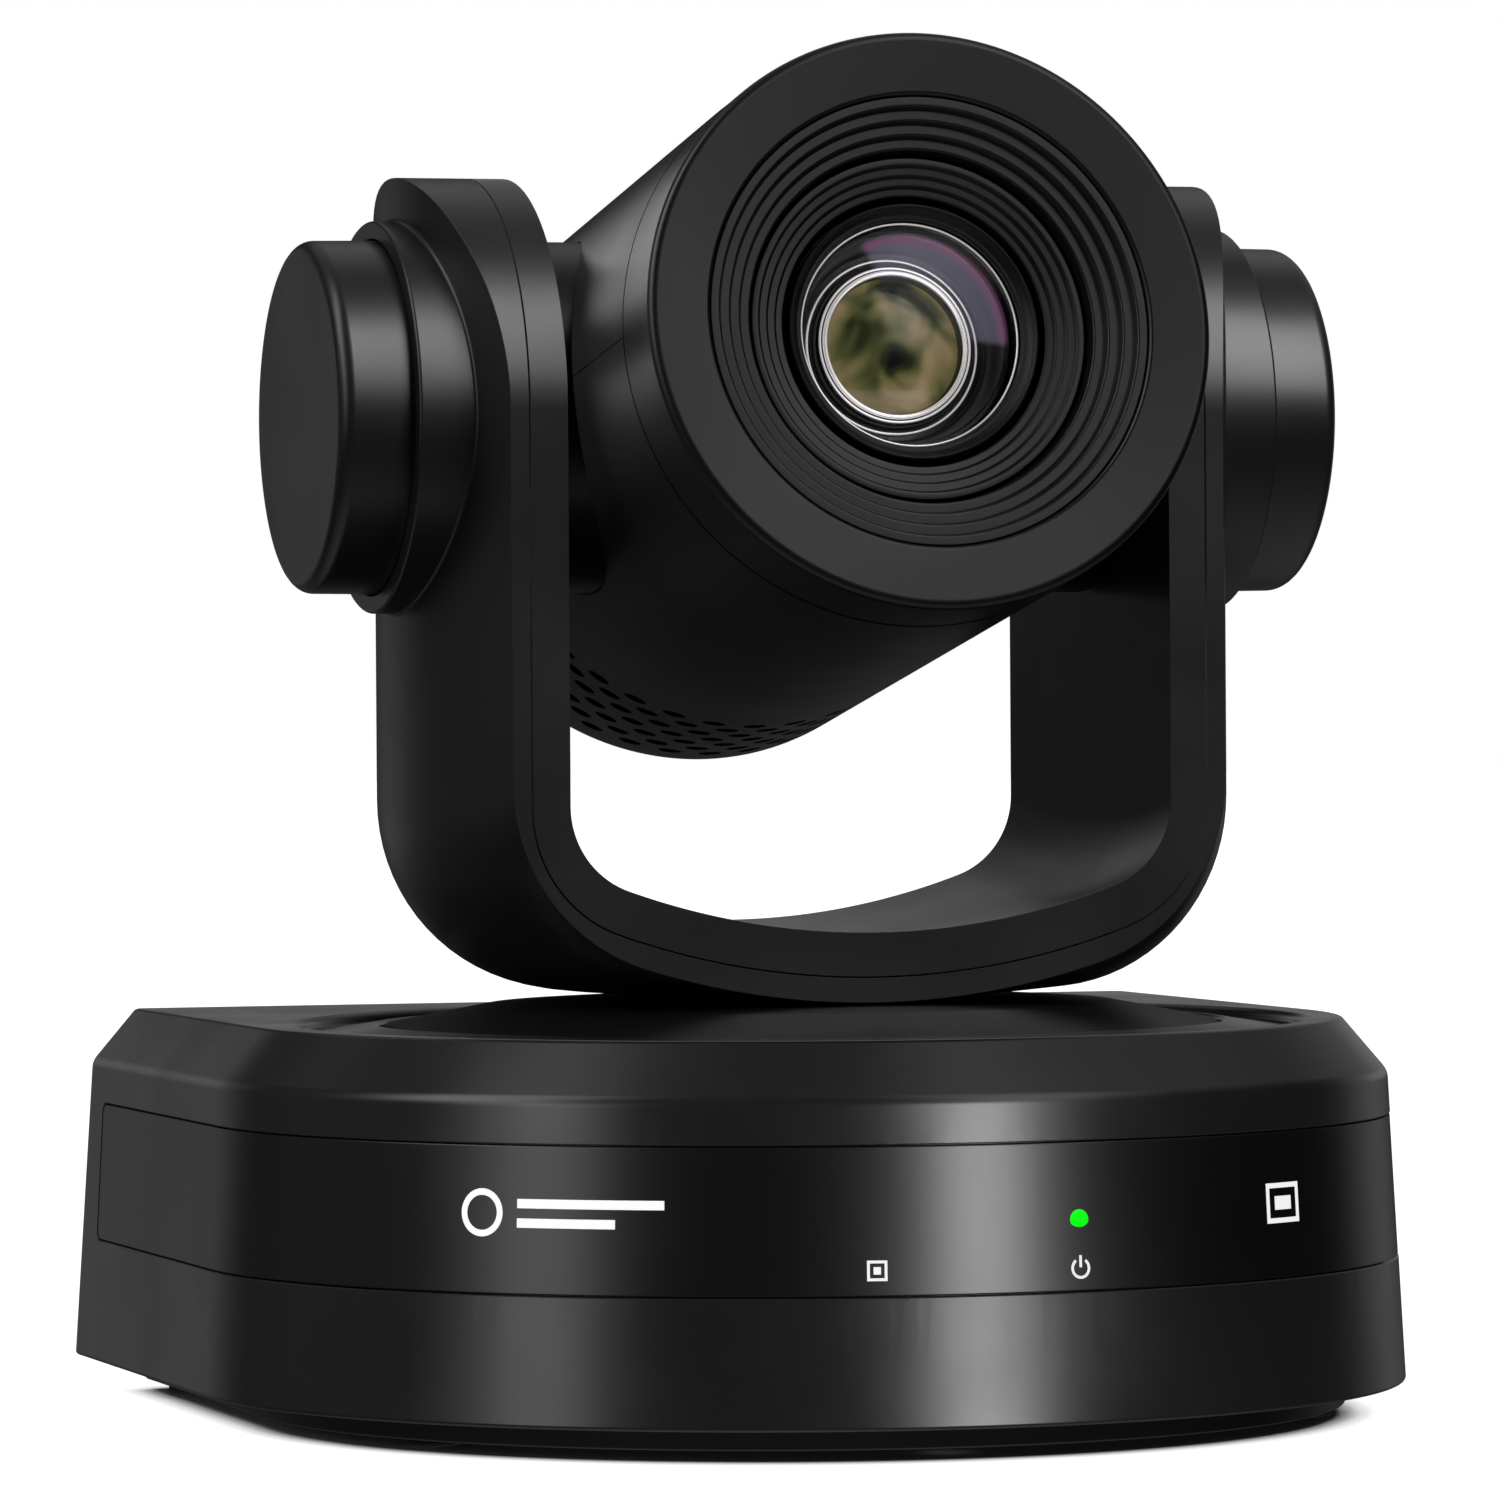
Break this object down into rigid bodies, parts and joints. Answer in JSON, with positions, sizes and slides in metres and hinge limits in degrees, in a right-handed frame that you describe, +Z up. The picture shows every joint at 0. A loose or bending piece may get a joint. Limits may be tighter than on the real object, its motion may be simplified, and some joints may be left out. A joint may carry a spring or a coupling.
{
  "type": "ptz camera",
  "caption": "Motorised pan-tilt-zoom conference camera: D-shaped base, U-shaped yoke that pans, and a barrel head that tilts between the arms.",
  "frame": {"origin": "on the pan axis, at the height of the soles of the rubber feet", "axes": "+Z up along the pan axis, -Y the way the lens faces, +X to the right as seen from in front of the lens"},
  "size_m": [0.14, 0.1375, 0.1552],
  "materials": {
    "shell": "satin black moulded plastic, fine spark-eroded texture",
    "dark": "matt black moulded plastic",
    "window": "gloss black infrared window",
    "steel": "plain machined steel",
    "brass": "plain brass",
    "board": "green glass-fibre circuit board",
    "glass": "multi-coated optical glass",
    "rubber": "matt black rubber",
    "nylon": "white gear nylon",
    "led": "green indicator lens"
  },
  "bodies": {
    "base": {"base_cover": "shell", "ir_window": "window", "bottom_plate": "dark", "tripod_insert": "brass", "rubber_foot_1": "rubber", "rubber_foot_2": "rubber", "rubber_foot_3": "rubber", "rubber_foot_4": "rubber", "bottom_screw_1": "steel", "bottom_screw_2": "steel", "main_board": "board", "indicator_board": "board", "power_led": "led", "remote_receiver": "dark", "rear_panel": "dark", "dc_inlet": "dark", "hdmi_port": "steel", "lan_port": "steel", "switch_frame": "dark", "bearing_tower": "steel", "pan_bearing": "steel", "pan_motor": "steel"},
    "switch": {"power_rocker": "dark"},
    "pan_drive": {"pan_pinion": "brass"},
    "yoke": {"turntable_disc": "shell", "pan_shaft": "steel", "pan_gear": "nylon", "yoke_outer_shell": "shell", "yoke_inner_shell": "shell", "side_cap_left": "shell", "side_cap_right": "shell", "tilt_bearing_left": "steel", "tilt_bearing_right": "steel", "tilt_motor": "steel"},
    "tilt_drive": {"tilt_pinion": "brass"},
    "head": {"head_upper_shell": "shell", "head_lower_shell": "shell", "front_sleeve": "shell", "front_bezel": "dark", "inner_ring": "dark", "lens_barrel": "dark", "retaining_ring": "dark", "front_element": "glass", "lens_cell": "steel", "inner_element": "glass", "lens_mount_ring": "steel", "sensor_board": "board", "image_sensor": "dark", "zoom_motor": "steel", "focus_motor": "steel", "tilt_hub_left": "shell", "tilt_hub_right": "shell", "tilt_shaft_left": "steel", "tilt_shaft_right": "steel", "tilt_gear": "nylon"},
    "zoom_group": {"zoom_carriage": "dark", "zoom_element": "glass"},
    "focus_group": {"focus_carriage": "dark", "focus_element": "glass"}
  },
  "joints": [
    {"name": "pan", "type": "hinge", "parent": "base", "child": "yoke", "pos_m": [0, 0, 0.0479], "axis": [0, 0, 1], "range_deg": [-170, 170]},
    {"name": "pan_pinion_spin", "type": "hinge", "parent": "base", "child": "pan_drive", "pos_m": [-0.02121, -0.02121, 0.0335], "axis": [0, 0, 1], "range_deg": [-680, 680]},
    {"name": "tilt", "type": "hinge", "parent": "yoke", "child": "head", "pos_m": [0, 0, 0.11435], "axis": [-1, 0, 0], "range_deg": [-40.1, 79.9]},
    {"name": "tilt_pinion_spin", "type": "hinge", "parent": "yoke", "child": "tilt_drive", "pos_m": [-0.0413, 0, 0.12455], "axis": [-1, 0, 0], "range_deg": [-191.76, 96.24]},
    {"name": "zoom", "type": "slide", "parent": "head", "child": "zoom_group", "axis": [0, -0.9845, 0.1754], "range_m": [-0.01, 0.008]},
    {"name": "focus", "type": "slide", "parent": "head", "child": "focus_group", "axis": [0, -0.9845, 0.1754], "range_m": [-0.006, 0.005]},
    {"name": "power_switch", "type": "hinge", "parent": "base", "child": "switch", "pos_m": [0.046, 0.0668, 0.0245], "axis": [1, 0, 0], "range_deg": [0, 12]}
  ],
  "couplings": [
    {"joint": "pan_pinion_spin", "follows": "pan", "ratio": -4},
    {"joint": "tilt_pinion_spin", "follows": "tilt", "ratio": -2.4}
  ]
}
